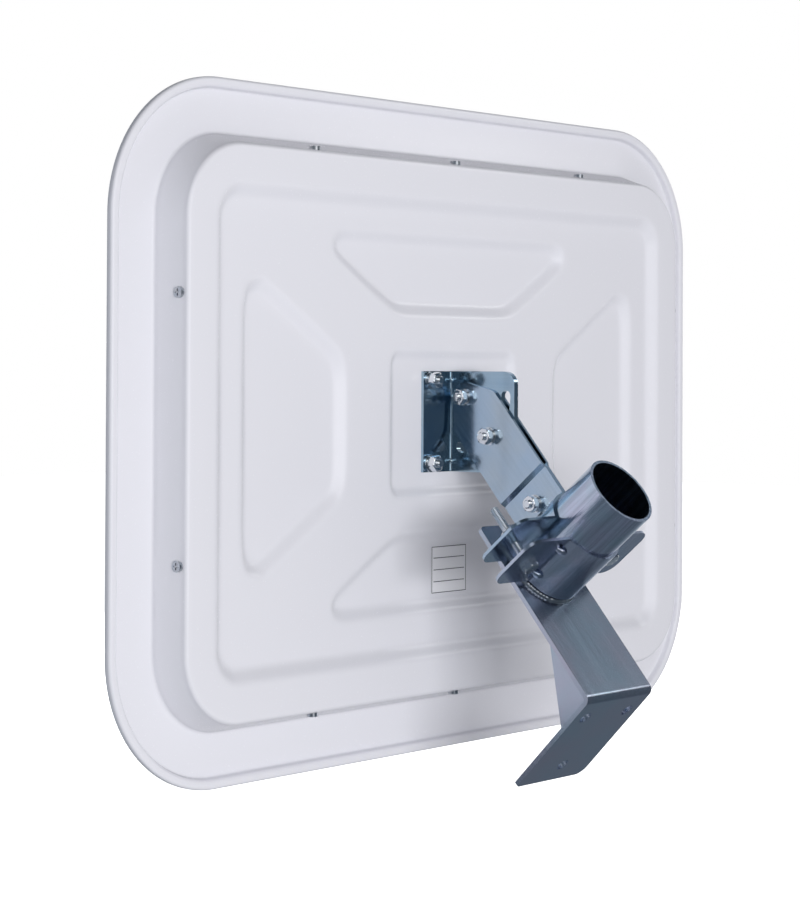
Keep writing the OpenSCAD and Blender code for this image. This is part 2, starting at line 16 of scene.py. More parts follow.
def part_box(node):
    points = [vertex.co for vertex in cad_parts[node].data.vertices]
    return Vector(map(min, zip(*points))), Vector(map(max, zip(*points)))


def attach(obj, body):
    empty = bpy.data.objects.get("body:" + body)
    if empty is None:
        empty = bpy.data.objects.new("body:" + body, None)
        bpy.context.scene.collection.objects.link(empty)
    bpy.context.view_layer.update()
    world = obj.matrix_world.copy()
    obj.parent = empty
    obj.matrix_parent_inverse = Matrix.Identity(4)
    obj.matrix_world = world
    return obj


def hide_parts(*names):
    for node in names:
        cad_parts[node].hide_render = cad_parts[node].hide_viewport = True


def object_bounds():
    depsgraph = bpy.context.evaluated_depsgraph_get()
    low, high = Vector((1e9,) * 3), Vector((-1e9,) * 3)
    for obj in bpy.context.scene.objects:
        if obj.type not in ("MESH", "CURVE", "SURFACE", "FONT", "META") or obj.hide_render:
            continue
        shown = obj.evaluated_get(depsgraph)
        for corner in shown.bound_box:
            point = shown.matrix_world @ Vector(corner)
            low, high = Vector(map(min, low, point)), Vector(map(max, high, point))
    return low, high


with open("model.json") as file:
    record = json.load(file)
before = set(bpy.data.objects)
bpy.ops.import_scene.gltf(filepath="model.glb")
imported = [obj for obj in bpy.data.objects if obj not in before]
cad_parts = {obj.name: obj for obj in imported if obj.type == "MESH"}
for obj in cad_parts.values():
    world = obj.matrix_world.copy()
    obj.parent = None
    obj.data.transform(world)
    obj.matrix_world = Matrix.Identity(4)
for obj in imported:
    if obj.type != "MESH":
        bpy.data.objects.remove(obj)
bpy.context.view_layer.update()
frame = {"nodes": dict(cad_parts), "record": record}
print("nodes in the frame:", len(frame["nodes"]))

# %% [markdown]
# ## Two working frames
# The panel is described from its back: x across, y up and n straight out of the back, with the
# middle of the rim at zero. The arm is described from the pivot bolt: x across, s down along the
# arm and w along the mast tube. Both come from the CAD, so nothing has to be typed twice.

# %% Panel frame and arm frame
MM = 0.001
shell_low, shell_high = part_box("rear_shell")
# Depth of the panel's rim, from its back to its front, in millimetres.
DEPTH = 6.0
rim_y = shell_high.y - DEPTH * MM
middle_z = (shell_low.z + shell_high.z) / 2
hinges = {j["name"]: j for j in frame["record"]["behaviour"]["joints"]}
pivot = Vector(hinges["tilt"]["pos_m"])
mast_up = Vector(hinges["swivel"]["axis"]).normalized()
across, upward = Vector((1, 0, 0)), Vector((0, 0, 1))
arm_down = across.cross(mast_up)


def on_panel(x, y, n):
    return Vector((x * MM, rim_y - n * MM, middle_z + y * MM))


def on_arm(x, s, w):
    return pivot + across * (x * MM) + arm_down * (s * MM) + mast_up * (w * MM)


print("pivot at", [round(v, 4) for v in pivot])

# %% [markdown]
# ## Camera
# The photograph was matched with a pinhole camera: a long lens, level with the panel's middle and
# about 49 degrees round to its left. The panel sits high in the picture, so the lens is shifted a
# little instead of being tilted. That keeps the upright edges upright.

# %% Camera
camera_data = bpy.data.cameras.new("photo_camera")
camera = bpy.data.objects.new("photo_camera", camera_data)
bpy.context.collection.objects.link(camera)
# The direction from the object back to the camera, then the picture's right and up.
back = Vector((-0.7573, -0.6529, -0.0153)).normalized()
right = upward.cross(back).normalized()
up = back.cross(right)
roll = math.radians(0.26)
turn_cos, turn_sin = math.cos(roll), math.sin(roll)
right, up = right * turn_cos + up * turn_sin, up * turn_cos - right * turn_sin
# Where the camera stands, in millimetres from the panel's middle.
spot = on_panel(-1243.4, 41.3, 1037.7)
camera.matrix_world = Matrix(
    [[right[i], up[i], back[i], spot[i]] for i in range(3)] + [[0, 0, 0, 1]]
)
camera_data.lens = 94.5
camera_data.sensor_width = 36
shift_px, photo_px = 120, 900
camera_data.shift_y = -shift_px / photo_px
camera_data.dof.use_dof = False
bpy.context.scene.camera = camera
bpy.context.scene.view_settings.view_transform = "Standard"
print("camera", camera_data.lens, "mm")

# %% [markdown]
# ## Colours and shader nodes
# Colours are read from the photograph as sRGB hex and turned to linear light once, here. One small
# function adds a shader node, sets it and links it. Pattern sizes are given in millimetres: a noise
# with features of 20 mm needs 1000 / 20 = 50 features to the metre.


# %% Colour, node and scale helpers
def linear(hex_code):
    parts = [int(hex_code[i : i + 2], 16) / 255 for i in (1, 3, 5)]
    return [p / 12.92 if p <= 0.04045 else ((p + 0.055) / 1.055) ** 2.4 for p in parts] + [1]


def per_metre(mm):
    return 1000 / mm


def put(tree, kind, settings=None, inputs=None):
    made = tree.nodes.new(kind)
    for key, value in (settings or {}).items():
        setattr(made, key, value)
    for key, value in (inputs or {}).items():
        if isinstance(value, bpy.types.NodeSocket):
            tree.links.new(value, made.inputs[key])
        else:
            made.inputs[key].default_value = value
    return made


def start_material(name):
    material = bpy.data.materials.new(name)
    material.use_nodes = True
    tree = material.node_tree
    tree.nodes.clear()
    place = put(tree, "ShaderNodeTexCoord").outputs["Object"]
    return material, tree, place


print("mid grey in linear light:", round(linear("#808080")[0], 3))

# %% [markdown]
# ## Finishes
# The shell is white ABS sheet, vacuum formed over a mould. That gives a smooth, half glossy skin with a
# very slight orange peel and no visible grain. A smooth white shows every step of tone, so the tone
# only speckles within about a millimetre, and a very low bump makes the peel.


# %% White ABS, vacuum formed
def formed_abs(name, pale, shade, rough):
    material, tree, place = start_material(name)
    # Pigment speckle is about 0.1 mm on the real sheet: drawn at 1.2 mm so that it can show.
    speckle = put(
        tree, "ShaderNodeTexNoise", inputs={"Vector": place, "Scale": per_metre(1.2), "Detail": 2}
    )
    tone = put(
        tree,
        "ShaderNodeMix",
        {"data_type": "RGBA"},
        {0: speckle.outputs["Fac"], 6: linear(pale), 7: linear(shade)},
    )
    gloss = put(
        tree,
        "ShaderNodeMapRange",
        inputs={"Value": speckle.outputs["Fac"], "To Min": rough - 0.01, "To Max": rough + 0.01},
    )
    # Orange peel: ripples about 8 mm long and a few hundredths of a millimetre high.
    peel = put(
        tree, "ShaderNodeTexNoise", inputs={"Vector": place, "Scale": per_metre(8), "Detail": 0}
    )
    bump = put(
        tree,
        "ShaderNodeBump",
        inputs={"Strength": 0.02, "Distance": 0.00004, "Height": peel.outputs["Fac"]},
    )
    shader = put(
        tree,
        "ShaderNodeBsdfPrincipled",
        inputs={
            "Base Color": tone.outputs[2],
            "Roughness": gloss.outputs["Result"],
            "IOR": 1.53,
            "Normal": bump.outputs["Normal"],
        },
    )
    put(tree, "ShaderNodeOutputMaterial", inputs={"Surface": shader.outputs[0]})
    return material


# White with a trace of blue toner: clean, cool and softly glossy.
shell_abs = formed_abs("white_abs_vacuum_formed", "#E3E3EA", "#E2E2E9", 0.27)
# The same plastic moulded with a matt face, so that rain and sun leave fewer marks.
radome_abs = formed_abs("white_abs_matt_moulded", "#E3E3E7", "#DDDDE2", 0.38)
print("plastics made")

# %% [markdown]
# The brackets are pressed steel with blue passivated zinc. Zinc keeps the rolling lines of the sheet,
# so one noise is stretched along the sheet: it moves the tone, the gloss and a low bump. A second,
# cloudy noise moves the tint between blue and a warmer grey. Fasteners take the same finish, brighter
# and with finer lines.


# %% Zinc plated steel
# How many times longer than wide the rolling lines are.
LINE_STRETCH = 25


def zinc_steel(
    name, cool, warm, rough, cloud_mm, line_mm, line_turn, line_high=0.03, line_tone=0.06
):
    material, tree, place = start_material(name)
    cloud = put(
        tree, "ShaderNodeTexNoise", inputs={"Vector": place, "Scale": per_metre(cloud_mm), "Detail": 4}
    )
    spread = put(
        tree,
        "ShaderNodeMapRange",
        inputs={"Value": cloud.outputs["Fac"], "From Min": 0.35, "From Max": 0.65},
    )
    tint = put(
        tree,
        "ShaderNodeMix",
        {"data_type": "RGBA"},
        {0: spread.outputs["Result"], 6: linear(cool), 7: linear(warm)},
    )
    lay = put(
        tree,
        "ShaderNodeMapping",
        {"vector_type": "TEXTURE"},
        {"Vector": place, "Rotation": (line_turn, 0, 0), "Scale": (1, LINE_STRETCH, 1)},
    )
    rolled = put(
        tree,
        "ShaderNodeTexNoise",
        inputs={"Vector": lay.outputs["Vector"], "Scale": per_metre(line_mm), "Detail": 3},
    )
    streak = put(
        tree,
        "ShaderNodeMapRange",
        inputs={
            "Value": rolled.outputs["Fac"],
            "From Min": 0.35,
            "From Max": 0.65,
            "To Min": 1 - line_tone,
        },
    )
    shine = put(
        tree,
        "ShaderNodeVectorMath",
        {"operation": "SCALE"},
        {0: tint.outputs[2], 3: streak.outputs["Result"]},
    )
    gloss = put(
        tree,
        "ShaderNodeMapRange",
        inputs={"Value": rolled.outputs["Fac"], "To Min": rough - 0.04, "To Max": rough + 0.05},
    )
    bump = put(
        tree,
        "ShaderNodeBump",
        inputs={"Strength": 0.4, "Distance": line_high * MM, "Height": rolled.outputs["Fac"]},
    )
    shader = put(
        tree,
        "ShaderNodeBsdfPrincipled",
        inputs={
            "Base Color": shine.outputs[0],
            "Metallic": 1,
            "Roughness": gloss.outputs["Result"],
            "Normal": bump.outputs["Normal"],
        },
    )
    put(tree, "ShaderNodeOutputMaterial", inputs={"Surface": shader.outputs[0]})
    return material


# After the two tones come the roughness, the size of the clouds and of the lines in millimetres and the
# lines' direction, and for some the lines' height in millimetres and how much they darken.
down_arm, up_mast = math.radians(49.5), math.radians(-40.5)
# Rolled sheet, bright zinc, blue passivated: a clear blue grey mirror with faint lines down the arm.
arm_zinc = zinc_steel("blue_zinc_rolled_sheet_arm", "#AFC6DC", "#B9C8D4", 0.16, 40, 1.6, down_arm)
# The same sheet from another bath: a little greener and darker, nearly as sharp as a mirror.
bracket_zinc = zinc_steel("blue_zinc_rolled_sheet_bracket", "#A3BED2", "#B2C6D2", 0.13, 30, 1.6, 0)
# Pressed from the same sheet, and stretched by the press: satin, a touch of lavender.
clamp_zinc = zinc_steel(
    "blue_zinc_pressed_sheet_clamp", "#BCCADC", "#CACEDE", 0.22, 20, 2.0, up_mast, 0.2, 0.1
)
# Hot rolled strip, zinc plated: the scale was pickled off, so it is greyer and softer.
mount_zinc = zinc_steel(
    "blue_zinc_hot_rolled_strip", "#B4C4D2", "#C0BFCE", 0.24, 45, 2.2, down_arm
)
# Drawn and polished tube, zinc plated: streaks run along it and break up every reflection.
tube_zinc = zinc_steel("blue_zinc_drawn_tube", "#BCD0DE", "#CCD0E4", 0.17, 25, 2.6, up_mast, 0.6, 0.24)
# Cold forged steel, barrel plated with clear zinc: the brightest metal, almost white.
bolt_zinc = zinc_steel("bright_zinc_forged_steel", "#E6EBF0", "#EEF0F2", 0.13, 5, 0.8, 0)
# Spring steel and stamped washers, barrel plated: bright, with a satin from tumbling.
washer_zinc = zinc_steel("bright_zinc_spring_steel", "#D4DCE4", "#DEE2E4", 0.18, 6, 0.8, 0)
# Machined screw steel, clear zinc: small, grey and satin.
screw_steel = zinc_steel("clear_zinc_screw_steel", "#B9C0C8", "#C6C8CA", 0.28, 4, 0.8, 0)
# Aluminium as it leaves the mill: pale, soft and without colour.
bare_aluminium = zinc_steel("mill_finish_aluminium", "#C3C6CA", "#CBCBC9", 0.36, 40, 1.5, 0)
# Turned brass under thin nickel: grey with a warm breath of the brass.
nickel_brass = zinc_steel("nickel_plated_brass", "#C9C2AE", "#D2C79F", 0.25, 6, 0.8, 0)
# Weld metal brushed and plated with the strip: wavy, with silver glints.
weld_metal = zinc_steel("zinc_over_weld_metal", "#A6AEB6", "#B8BCC0", 0.3, 3, 1.5, 0)
print("metals made")

# %% [markdown]
# The rest is small: a paper label, its grey ruled ink, the black seal, white foam and the board.
# Each is a matt body colour with a grain of its own size, so one function serves them all.


# %% Matt finishes
def matt_finish(name, first, second, grain_mm, rough):
    material, tree, place = start_material(name)
    grain = put(
        tree, "ShaderNodeTexNoise", inputs={"Vector": place, "Scale": per_metre(grain_mm), "Detail": 5}
    )
    tone = put(
        tree,
        "ShaderNodeMix",
        {"data_type": "RGBA"},
        {0: grain.outputs["Fac"], 6: linear(first), 7: linear(second)},
    )
    bump = put(
        tree,
        "ShaderNodeBump",
        inputs={"Strength": 0.2, "Distance": 0.0001, "Height": grain.outputs["Fac"]},
    )
    shader = put(
        tree,
        "ShaderNodeBsdfPrincipled",
        inputs={"Base Color": tone.outputs[2], "Roughness": rough, "Normal": bump.outputs["Normal"]},
    )
    put(tree, "ShaderNodeOutputMaterial", inputs={"Surface": shader.outputs[0]})
    return material


# After the two tones come the size of the grain in millimetres and the roughness.
# Coated paper with a clear varnish: plain white, flat, a shade paler than the shell.
label_paper = matt_finish("coated_label_paper", "#EBEBF0", "#E7E7EC", 0.8, 0.5)
# Printed ink: thin, dark grey lines.
label_ink = matt_finish("printed_grey_ink", "#3C3E46", "#4C4E56", 0.5, 0.5)
# Extruded EPDM rubber: black that stays dull.
seal_black = matt_finish("extruded_epdm_rubber", "#1C1D1F", "#2A2B2D", 1.5, 0.75)
# Cut polyethylene foam: white with open cells of about a millimetre.
foam_white = matt_finish("cut_polyethylene_foam", "#EFEFEA", "#E4E4DE", 1.2, 0.9)
# Pressed phenolic paper board: brown and waxy.
board_brown = matt_finish("phenolic_paper_board", "#7A5B2C", "#8C6B38", 3.0, 0.5)
print("matt finishes made")

# %% [markdown]
# ## Mesh helpers
# Made pieces are plain lists of points and faces, in metres in the shared frame. One helper turns them
# into an object, smooths it, gives it its finish, and ties it to the CAD body and node it stands for.
# A second one lofts a skin over a row of rings, and a third joins several skins into one.


# %% Add a made piece
def add_piece(name, points, faces, material, body, nodes=(), sharp=50):
    mesh = bpy.data.meshes.new(name)
    mesh.from_pydata([tuple(p) for p in points], [], [tuple(f) for f in faces])
    mesh.validate()
    tidy = bmesh.new()
    tidy.from_mesh(mesh)
    bmesh.ops.remove_doubles(tidy, verts=tidy.verts, dist=1e-6)
    bmesh.ops.recalc_face_normals(tidy, faces=tidy.faces)
    tidy.to_mesh(mesh)
    tidy.free()
    mesh.shade_smooth()
    mesh.set_sharp_from_angle(angle=math.radians(sharp))
    piece = bpy.data.objects.new(name, mesh)
    bpy.context.collection.objects.link(piece)
    mesh.materials.append(material)
    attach(piece, body)
    if nodes:
        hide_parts(*nodes)


def loft(rings, closed_ring=True):
    points = [p for ring in rings for p in ring]
    count = len(rings[0])
    faces = []
    for i in range(len(rings) - 1):
        for j in range(count if closed_ring else count - 1):
            a, b = i * count + j, i * count + (j + 1) % count
            faces.append((a, b, b + count, a + count))
    return points, faces


def join(parts):
    points, faces = [], []
    for more, cells in parts:
        base = len(points)
        points += more
        faces += [tuple(base + i for i in f) for f in cells]
    return points, faces


print("mesh helpers ready")

# %% [markdown]
# ## Rear shell
# The shell is one formed sheet. Near the edge its section is the same all the way round: a rim bead, a
# groove beside it, a trench floor that rises gently, and a wall that leans a little, so that the
# sheet comes off its mould. So that section is swept round the outline. Inside the ring the back is a
# height field: a recess, four trapezoids and the middle pocket, each pressed down with soft edges.
# Cuts and bevels could make these as well, but here the slopes of two shapes run into each other, and
# heights that are simply added up give that by themselves.

# %% Shell section
HALF_W, HALF_H, CORNER = 300, 220, 89
# Millimetres. Height of the back over the rim, radius of its edge, inset of the wall, sheet thickness.
RISE, EDGE, WALL, SKIN = 21.4, 3.0, 41.6, 2.6
# Radius of the rim's bead and of its front edge.
BEAD, FRONT = 2.2, 2.4
# Depth of the trench, radius at the foot of the wall, lean of the wall.
TRENCH, FOOT, DRAFT = 4.6, 2.4, 6.0
# The trench floor's end beside the groove, where it starts to rise, and the rise's width, height and power.
FLOOR_END, FLOOR_START, FLOOR_WIDE, FLOOR_RISE, FLOOR_POWER = 8.6, 8, 28, 2.9, 1.7
# The groove beside the bead and the bead's inner side: distance from the panel's edge, and radius.
GROOVE_AT, GROOVE, SHOULDER_AT, SHOULDER = 8.4, 1.4, 4.0, 2.6
# Distances from the panel's edge: where the height field ends, and the flat ring round it.
FIELD_INSET, RING_IN, RING_OUT = 64, 52, 48


def arc(u, n, r, start, end, steps):
    turns = [math.radians(start + (end - start) * i / steps) for i in range(steps + 1)]
    return [(u + r * math.cos(t), n + r * math.sin(t)) for t in turns]


def trench_floor(u):
    return -TRENCH + FLOOR_RISE * max((u - FLOOR_START) / FLOOR_WIDE, 0) ** FLOOR_POWER


section = [(RING_IN, RISE), (RING_OUT, RISE)]
section += arc(WALL + EDGE, RISE - EDGE, EDGE, 90, 180, 8)
foot_u = WALL - DRAFT - FOOT
foot_n = trench_floor(foot_u) + FOOT
wall_drop = RISE - EDGE - foot_n
section += [(WALL - DRAFT * i / 8, RISE - EDGE - wall_drop * i / 8) for i in range(1, 8)]
section += arc(foot_u, foot_n, FOOT, 0, -80, 10)
section += [(u, trench_floor(u)) for u in np.linspace(foot_u - 0.5, FLOOR_END, 26)]
# The groove, the bead's inner side, its outer side, and the front edge of the rim.
section += arc(GROOVE_AT, GROOVE - TRENCH, GROOVE, 260, 190, 6)
section += arc(SHOULDER_AT, -SHOULDER, SHOULDER, 5, 90, 8)
section += arc(BEAD, -BEAD, BEAD, 90, 180, 8)
section += arc(FRONT, FRONT - DEPTH, FRONT, 180, 270, 8)
# The inside of the sheet, back to the middle.
inner = WALL + SKIN
section += [(WALL, -DEPTH), (inner, FOOT - TRENCH), (inner, RISE - SKIN)]
section += [(FIELD_INSET, RISE - SKIN)]
print("section points:", len(section))


# %% Height of the back
# A slope from 0 to 1 with rounded ends.
def soft_step(t, soft):
    high = np.logaddexp(0, t / soft)
    low = np.logaddexp(0, (t - 1) / soft)
    return soft * (high - low)


# How far a point lies inside a shape with straight sides and blended corners.
def inside(x, y, corners, blend):
    total = 0
    for (ax, ay), (bx, by) in zip(corners, corners[1:] + corners[:1]):
        length = math.hypot(bx - ax, by - ay)
        depth = ((bx - ax) * (y - ay) - (by - ay) * (x - ax)) / length
        total = total + np.exp(-np.clip(depth, -60, 200) / blend)
    return -blend * np.log(total)


# The same for a rectangle with round corners.
def rounded(x, y, half_w, half_h, r):
    qx, qy = np.abs(x) - half_w + r, np.abs(y) - half_h + r
    outer = np.hypot(np.maximum(qx, 0), np.maximum(qy, 0)) + np.minimum(np.maximum(qx, qy), 0)
    return r - outer


# The pressed pattern sits a little above the middle of the panel.
LIFT = 3
# Depth of the recess, of a trapezoid and of the pocket, and how wide their slopes are.
RECESS, TRAPEZOID, POCKET = 6.0, 5.0, 3.8
RECESS_SLOPE, TRAP_SLOPE, POCKET_SLOPE = 8.5, 7.5, 6
# Half width, half height and corner radius of the recess and of the pocket.
RECESS_SIZE, POCKET_SIZE = (233.4, 153.4, 22.4), (67, 49, 10)
# How round the ends of a slope are, as a share of its width, and how far a trapezoid's sides blend.
SOFT, POCKET_SOFT, BLEND = 0.1, 0.11, 1.5
# One half of each outline, in millimetres. The other half is its mirror image.
side_half = [(206.5, 78), (202, 90), (188, 93.5), (129.5, 58.5), (115, 48), (110, 36)]
side = side_half + [(x, -y) for x, y in side_half[::-1]]
top_half = [(-115, 126.8), (-121.7, 123.7), (-125, 114.5), (-121, 107.9), (-70, 76.5), (-60, 72)]
top = top_half + [(-x, y) for x, y in top_half[::-1]]


def back_height(x, y):
    n = RISE - RECESS * soft_step(rounded(x, y, *RECESS_SIZE) / RECESS_SLOPE, SOFT)
    v = y - LIFT
    for sx in (1, -1):
        n = n - TRAPEZOID * soft_step(inside(sx * x, v, side, BLEND) / TRAP_SLOPE, SOFT)
    for sy in (1, -1):
        n = n - TRAPEZOID * soft_step(inside(x, sy * v, top, BLEND) / TRAP_SLOPE, SOFT)
    return n - POCKET * soft_step(rounded(x, v, *POCKET_SIZE) / POCKET_SLOPE, POCKET_SOFT)


pocket_n = float(back_height(np.array(0.0), np.array(float(LIFT))))
print("height in the pocket:", round(pocket_n, 2))

# %% [markdown]
# The height field is a rectangular grid that ends on the flat ring. The swept section gets one point
# for every point on the grid's rim, so the two join with plain quads. A coarser copy of the grid,
# one skin thickness lower, is the shell's inside.


# %% Build the rear shell
# A grid that lies on the height field, or a little over or under it.
def draped(x0, y0, x1, y1, lift, nx, ny):
    gx, gy = np.meshgrid(np.linspace(x0, x1, nx + 1), np.linspace(y0, y1, ny + 1))
    gn = back_height(gx, gy) + lift
    points = [on_panel(a, b, c) for a, b, c in zip(gx.ravel(), gy.ravel(), gn.ravel())]
    row = nx + 1
    return points, [
        (j * row + i, j * row + i + 1, (j + 1) * row + i + 1, (j + 1) * row + i)
        for j in range(ny)
        for i in range(nx)
    ]


def whole_field(step, lift):
    half_x, half_y = HALF_W - FIELD_INSET, HALF_H - FIELD_INSET
    nx, ny = round(2 * half_x / step), round(2 * half_y / step)
    points, quads = draped(-half_x, -half_y, half_x, half_y, lift, nx, ny)
    return points, quads, nx, ny


# A ring round the panel, with nx points on each long side and ny on each short one.
def outline(inset, nx, ny):
    w, h, r = HALF_W - inset, HALF_H - inset, CORNER - inset
    bend = math.pi * r / 4
    ring = []
    for k, count in enumerate((nx, ny, nx, ny)):
        run, out = (w - r, h) if k % 2 == 0 else (h - r, w)
        total = 2 * bend + 2 * run
        for i in range(count):
            d = total * i / count
            if d < bend:
                t = math.radians(45) - d / r
                a, b = -run - r * math.sin(t), out - r + r * math.cos(t)
            elif d < bend + 2 * run:
                a, b = -run + d - bend, out
            else:
                t = (d - bend - 2 * run) / r
                a, b = run + r * math.sin(t), out - r + r * math.cos(t)
            ring.append([(a, -b), (b, a), (-a, b), (-b, -a)][k])
    return ring


FIELD_STEP, LINING_STEP = 1.5, 8.0
field, field_quads, nx, ny = whole_field(FIELD_STEP, 0)
row = nx + 1
rim = list(range(nx)) + [j * row + nx for j in range(ny)]
rim += [ny * row + i for i in range(nx, 0, -1)] + [j * row for j in range(ny, 0, -1)]
rings = [[field[i] for i in rim]]
rings += [[on_panel(x, y, n) for x, y in outline(u, nx, ny)] for u, n in section]
lining, lining_quads, _, _ = whole_field(LINING_STEP, -SKIN)
lining_quads = [quad[::-1] for quad in lining_quads]
points, faces = join([loft(rings), (field, field_quads), (lining, lining_quads)])
add_piece("moulded_shell", points, faces, shell_abs, "panel", ["rear_shell"])
print("shell points:", len(points))

# %% [markdown]
# ## Sheet metal and tube from the CAD
# The plates are right as they are in the CAD. Real punched sheet has a broken edge, so each one only
# gets a narrow bevel and its finish. The small inner pieces are dressed in the same way. The pieces
# that are made again with more detail aren't in this list.

# %% Dress the CAD pieces
finishes = {
    "arm_plate_left": arm_zinc,
    "arm_plate_right": arm_zinc,
    "clamp_front": clamp_zinc,
    "tilt_bracket_left": bracket_zinc,
    "tilt_bracket_right": bracket_zinc,
    "wall_strip": mount_zinc,
    "gusset_plate": mount_zinc,
    "mast_tube": tube_zinc,
    "clamp_flat_washers": washer_zinc,
    "arm_flat_washers": washer_zinc,
    "bracket_flat_washers": washer_zinc,
    "side_screws": screw_steel,
    "front_radome": radome_abs,
    "rim_seal": seal_black,
    "inner_frame": bare_aluminium,
    "ground_plate": bare_aluminium,
    "foam_spacer": foam_white,
    "patch_board": board_brown,
    "backing_plate": washer_zinc,
    "converter_box": bare_aluminium,
    "outlet_socket": nickel_brass,
    "outlet_nut": bolt_zinc,
}
# Bevels wider or narrower than the usual one, in millimetres.
USUAL_BEVEL = 0.3
bevel_mm = {"front_radome": 0.8, "side_screws": 0.25, "mast_tube": 0.35, "wall_strip": 0.45}
plates = ("arm_plate", "tilt_bracket", "clamp_front")
bevel_mm.update({name: 0.5 for name in finishes if name.startswith(plates)})
for name, material in finishes.items():
    piece = frame["nodes"][name]
    piece.data.materials.clear()
    piece.data.materials.append(material)
    bevel = piece.modifiers.new("broken_edge", "BEVEL")
    bevel.width = bevel_mm.get(name, USUAL_BEVEL) * MM
    bevel.segments = 3
    bevel.limit_method = "ANGLE"
    bevel.angle_limit = math.radians(40)
    bevel.harden_normals = True
print("dressed", len(finishes), "CAD pieces")

# %% [markdown]
# ## Fasteners
# All visible bolts are M6: 1 mm pitch, 10 mm over the flats. A thread is a lathe shape whose radius
# follows a sawtooth that climbs one pitch per turn. A hexagon is the same lathe shape with a radius
# that follows six flats, cut back by a cone at the corners, as on a real forged head. A screw modifier
# could wind the thread too, but here the chamfered end comes from the same few lines.

# %% Lathe shapes for nuts, bolts and washers
# M6 in millimetres: width over the flats, pitch, and radius of the thread's crest and root.
FLATS, PITCH, CREST, ROOT = 10, 1.0, 2.96, 2.42
# A hexagon's chamfer has two steps, each this high and wide. Its nut's bore has a countersink.
CHAMFER_HIGH, CHAMFER_WIDE, COUNTERSINK = 0.4, 0.65, 0.35
# Points round a hexagon or a washer and round a thread, and rows of points to one pitch.
ROUND, THREAD_ROUND, PER_PITCH = 72, 32, 6
# How far one end of a split spring washer stands over the other.
SPRING_LIFT = 0.25


# Turns rows of (height, radius) round an axis. A radius is a number, or a function of the angle that
# gives the radius and a lift.
def turned(base, axis, rows, steps=ROUND, facing=None):
    axis = axis.normalized()
    ahead = facing or axis.orthogonal()
    ahead = (ahead - axis * ahead.dot(axis)).normalized()
    aside = axis.cross(ahead)
    rings = []
    for height, radius in rows:
        ring = []
        for i in range(steps):
            t = 2 * math.pi * i / steps
            r, lift = radius(t) if callable(radius) else (radius, 0)
            spoke = ahead * math.cos(t) + aside * math.sin(t)
            ring.append(base + spoke * (r * MM) + axis * ((height + lift) * MM))
        rings.append(ring)
    return loft(rings)


def hex_radius(limit):
    def radius(t):
        slice_angle = (t + math.pi / 6) % (math.pi / 3) - math.pi / 6
        return min(FLATS / 2 / math.cos(slice_angle), limit), 0

    return radius


def hex_rows(z0, z1, bore, soft_low=True):
    cone = FLATS * 0.475
    low = cone if soft_low else FLATS
    slope = 2 * CHAMFER_HIGH
    rows = [(z0, bore), (z0, hex_radius(low)), (z0 + CHAMFER_HIGH, hex_radius(low + CHAMFER_WIDE))]
    rows += [(z0 + slope, hex_radius(FLATS)), (z1 - slope, hex_radius(FLATS))]
    rows += [(z1 - CHAMFER_HIGH, hex_radius(cone + CHAMFER_WIDE)), (z1, hex_radius(cone))]
    return rows + [(z1, bore + COUNTERSINK), (z1 - CHAMFER_HIGH, bore), (z0, bore)]


def thread_radius(z, limit):
    def radius(t):
        climb = (z / PITCH - t / (2 * math.pi)) % 1
        return min(ROOT + (CREST - ROOT) * (1 - abs(2 * climb - 1)), limit), 0

    return radius


def thread_rows(z0, z1):
    rows = [(z0, 0.0)]
    count = int((z1 - z0) / PITCH * PER_PITCH)
    for i in range(count + 1):
        z = z0 + (z1 - z0) * i / count
        # The end is cut back by a cone.
        rows.append((z, thread_radius(z, ROOT - 0.2 + max(z1 - z, 0) * 1.2)))
    return rows + [(z1, 0.0)]


def spring_radius(r, z, split):
    def radius(t):
        return r, z + SPRING_LIFT * ((t - split) % (2 * math.pi)) / (2 * math.pi)

    return radius


print("M6 thread rows in 10 mm:", len(thread_rows(0, 10)))

# %% [markdown]
# The CAD has one node for each kind of fastener, so all copies of a kind are made in place and joined.
# A place is the face under the flat washer, the direction of the bolt's end, the grip back to the
# head and how far the thread stands out. The spring washers are split, with one end raised.

# %% Set the fasteners in place
out_back = Vector((0, -1, 0))
# Thickness of the plates, and how far the usual thread stands out, in millimetres.
SHEET, STAND = 2, 10
# Bolt head, nut and spring washer: heights over the face under the flat washer, and radii.
HEAD_HIGH, NUT_LOW, NUT_HIGH, NUT_BORE = 4, 2.8, 7.8, 2.5
SPRING_LOW, SPRING_HIGH, SPRING_IN, SPRING_OUT = 1.2, 2.5, 3.2, 4.9
# From the pivot bolt down the arm to the lock bolt and to the joint bolt.
LOCK_AT, JOINT_AT = 34, 91.5
# The clamp's ears: their bolts down the arm, along the tube and to each side, grip and stand.
EAR_AT, EAR_LOW, EAR_OUT, EAR_GRIP, EAR_STAND = 117.5, -3, 44, 19, 26
# The tilt brackets: height of their middle, face of their flanges, bolts to each side, and grip.
BRACKET_AT, FLANGE_FACE, FLANGE_X, FLANGE_Y, FLANGE_GRIP = 4, 13.6, 24, 28, 6.6
arm_places = [
    (on_arm(-2 * SHEET, 0, 0), -across, 4 * SHEET, STAND),
    (on_arm(-2 * SHEET, LOCK_AT, 0), -across, 4 * SHEET, STAND),
    (on_arm(-SHEET, JOINT_AT, 0), -across, 2 * SHEET, STAND),
]
clamp_places = [
    (on_arm(x, EAR_AT, EAR_LOW), -arm_down, EAR_GRIP, EAR_STAND) for x in (-EAR_OUT, EAR_OUT)
]
bracket_places = [
    (on_panel(x, BRACKET_AT + y, FLANGE_FACE), out_back, FLANGE_GRIP, STAND)
    for x in (-FLANGE_X, FLANGE_X)
    for y in (-FLANGE_Y, FLANGE_Y)
]
